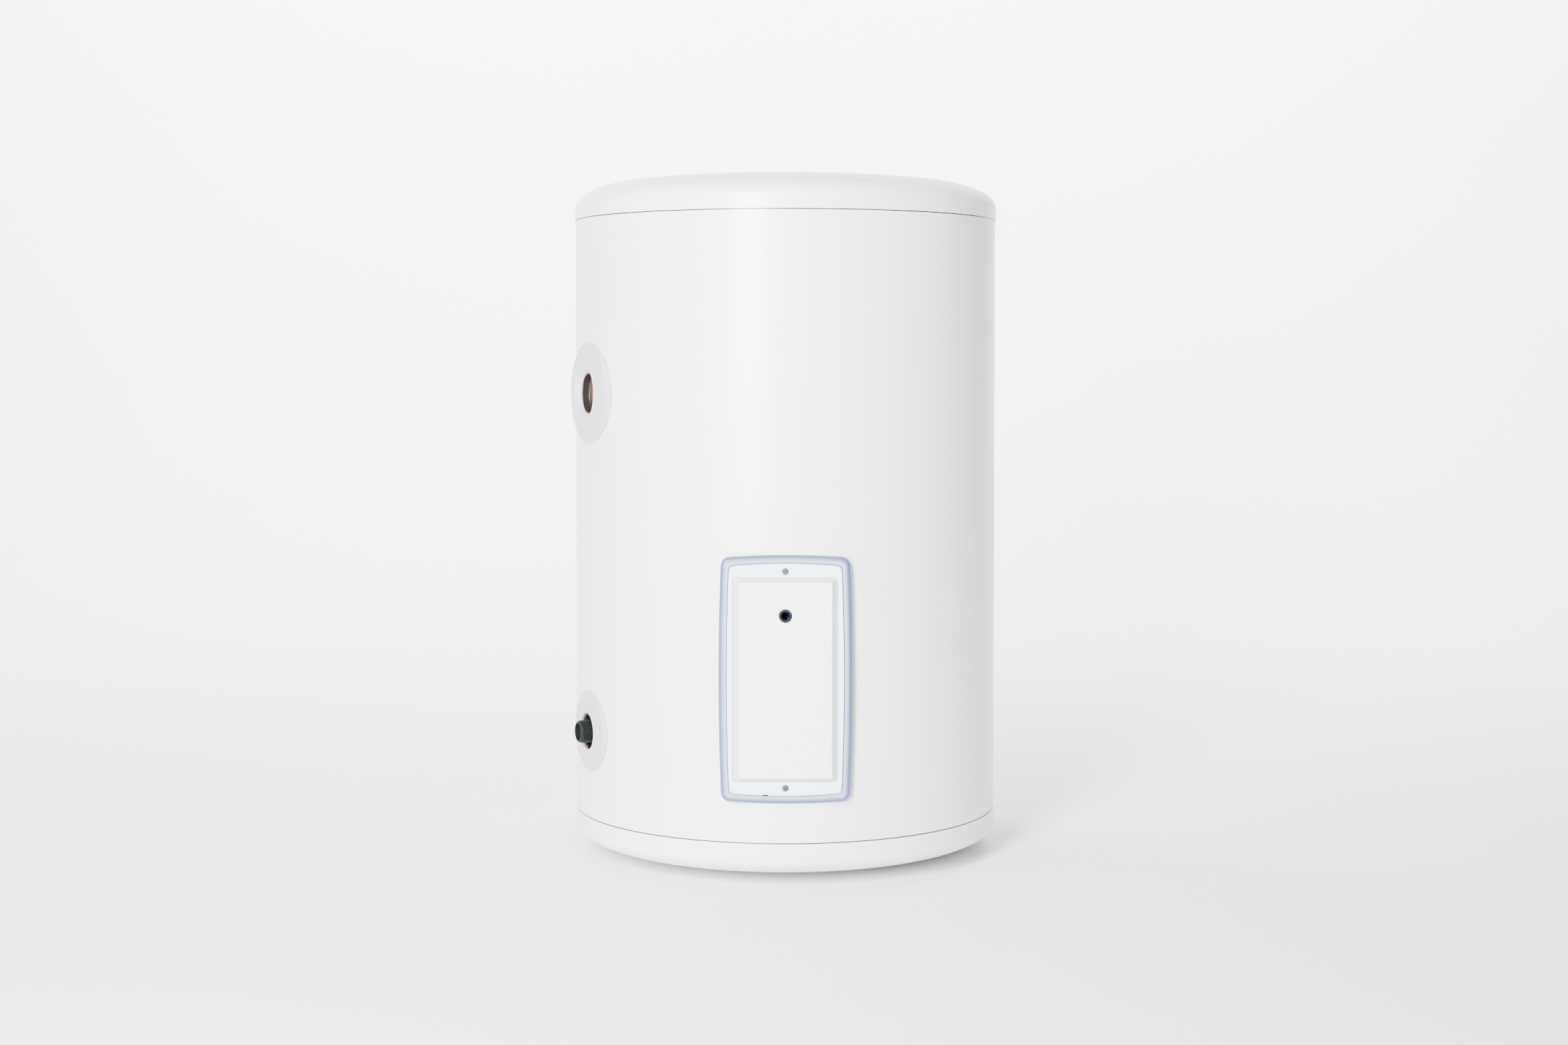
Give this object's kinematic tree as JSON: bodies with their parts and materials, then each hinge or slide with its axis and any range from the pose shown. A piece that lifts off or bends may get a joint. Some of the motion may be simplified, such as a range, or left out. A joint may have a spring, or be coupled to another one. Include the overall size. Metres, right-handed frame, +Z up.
{
  "type": "tank water heater",
  "caption": "Round floor-standing tank water heater with domed caps, a framed service cover low on the front and collared pipe connections on the left side.",
  "frame": {"origin": "on the floor, under the tank's own axis", "axes": "+Z up, -Y towards the access cover, -X towards the side with the pipe connections"},
  "size_m": [0.5034, 0.5134, 0.794],
  "materials": {
    "white_enamel": "semi-gloss stoved enamel",
    "white_plastic": "satin moulded plastic",
    "collar_plastic": "satin moulded plastic",
    "frame_plastic": "soft blue-grey moulding",
    "black_rubber": "matt",
    "foot_plastic": "matt",
    "foam": "rigid cellular foam",
    "tank_steel": "dark primed steel",
    "socket_steel": "bare steel with a brown bloom",
    "nipple_black": "dark phosphated",
    "pipe_plastic": "plain moulded pipe",
    "flange_steel": "brushed",
    "zinc_steel": "bright zinc",
    "sheath_metal": "grey-green drawn sheath",
    "copper": "bright copper",
    "brass_stud": "bright brass",
    "insulator": "glazed",
    "anode_metal": "dull cast",
    "well_plastic": "plain moulding",
    "control_black": "moulded phenolic",
    "knob_plastic": "satin",
    "button_red": "satin",
    "block_white": "moulded",
    "wire_brown": "pvc",
    "wire_blue": "pvc",
    "wire_green": "pvc"
  },
  "bodies": {
    "heater": {"anode_nut": "zinc_steel", "anode_rod": "anode_metal", "base_pan": "white_enamel", "cold_inlet_collar": "collar_plastic", "cold_inlet_nipple": "nipple_black", "cold_inlet_socket": "socket_steel", "control_bracket": "flange_steel", "cover_frame": "frame_plastic", "earth_stud": "brass_stud", "element_insulators": "insulator", "element_link_nuts": "zinc_steel", "element_links": "copper", "element_pins": "zinc_steel", "flange_gasket": "black_rubber", "flange_neck": "tank_steel", "flange_nuts": "zinc_steel", "flange_plate": "flange_steel", "flange_studs": "zinc_steel", "flange_washers": "zinc_steel", "foam_barrel": "foam", "foam_bottom": "foam", "foam_top": "foam", "heating_element_left": "sheath_metal", "heating_element_right": "sheath_metal", "hot_outlet_collar": "collar_plastic", "hot_outlet_socket": "socket_steel", "hot_riser_pipe": "pipe_plastic", "inlet_diffuser": "pipe_plastic", "limiter_body": "control_black", "outer_jacket": "white_enamel", "service_well": "well_plastic", "support_legs": "tank_steel", "tank_barrel": "tank_steel", "tank_bottom_head": "tank_steel", "tank_top_head": "tank_steel", "terminal_block": "block_white", "terminal_screws": "zinc_steel", "thermostat_body": "control_black", "thermostat_capillary": "copper", "thermostat_pocket": "sheath_metal", "top_cap": "white_enamel", "wire_earth": "wire_green", "wire_link": "wire_brown", "wire_live": "wire_brown", "wire_neutral": "wire_blue", "wire_switched": "wire_brown"},
    "cover": {"access_cover": "white_plastic", "cable_grommet": "black_rubber", "cover_screw_top": "zinc_steel", "cover_screw_bottom": "zinc_steel"},
    "knob": {"thermostat_knob": "knob_plastic"},
    "reset": {"reset_button": "button_red"},
    "foot_front_left": {"foot_front_left_pad": "foot_plastic"},
    "screw_front_left": {"foot_front_left_stem": "zinc_steel"},
    "foot_front_right": {"foot_front_right_pad": "foot_plastic"},
    "screw_front_right": {"foot_front_right_stem": "zinc_steel"},
    "foot_back_right": {"foot_back_right_pad": "foot_plastic"},
    "screw_back_right": {"foot_back_right_stem": "zinc_steel"},
    "foot_back_left": {"foot_back_left_pad": "foot_plastic"},
    "screw_back_left": {"foot_back_left_stem": "zinc_steel"}
  },
  "joints": [
    {"name": "cover_lift_off", "type": "slide", "parent": "heater", "child": "cover", "axis": [0, -1, 0], "range_m": [0, 0.12]},
    {"name": "thermostat_turn", "type": "hinge", "parent": "heater", "child": "knob", "pos_m": [-0.023, -0.252, 0.264], "axis": [0, 1, 0], "range_deg": [-135, 135]},
    {"name": "reset_press", "type": "slide", "parent": "heater", "child": "reset", "axis": [0, 1, 0], "range_m": [0, 0.002], "stiffness_N_per_m": 1500, "springref_m": -0.001},
    {"name": "foot_front_left_height", "type": "slide", "parent": "heater", "child": "foot_front_left", "axis": [0, 0, -1], "range_m": [0, 0.02]},
    {"name": "foot_front_left_turn", "type": "hinge", "parent": "foot_front_left", "child": "screw_front_left", "pos_m": [-0.10253, -0.10253, 0], "axis": [0, 0, -1], "range_deg": [0, 4800]},
    {"name": "foot_front_right_height", "type": "slide", "parent": "heater", "child": "foot_front_right", "axis": [0, 0, -1], "range_m": [0, 0.02]},
    {"name": "foot_front_right_turn", "type": "hinge", "parent": "foot_front_right", "child": "screw_front_right", "pos_m": [0.10253, -0.10253, 0], "axis": [0, 0, -1], "range_deg": [0, 4800]},
    {"name": "foot_back_right_height", "type": "slide", "parent": "heater", "child": "foot_back_right", "axis": [0, 0, -1], "range_m": [0, 0.02]},
    {"name": "foot_back_right_turn", "type": "hinge", "parent": "foot_back_right", "child": "screw_back_right", "pos_m": [0.10253, 0.10253, 0], "axis": [0, 0, -1], "range_deg": [0, 4800]},
    {"name": "foot_back_left_height", "type": "slide", "parent": "heater", "child": "foot_back_left", "axis": [0, 0, -1], "range_m": [0, 0.02]},
    {"name": "foot_back_left_turn", "type": "hinge", "parent": "foot_back_left", "child": "screw_back_left", "pos_m": [-0.10253, 0.10253, 0], "axis": [0, 0, -1], "range_deg": [0, 4800]}
  ],
  "couplings": [
    {"joint": "foot_front_left_turn", "follows": "foot_front_left_height", "rad_per_m": 4188.8},
    {"joint": "foot_front_right_turn", "follows": "foot_front_right_height", "rad_per_m": 4188.8},
    {"joint": "foot_back_right_turn", "follows": "foot_back_right_height", "rad_per_m": 4188.8},
    {"joint": "foot_back_left_turn", "follows": "foot_back_left_height", "rad_per_m": 4188.8}
  ]
}
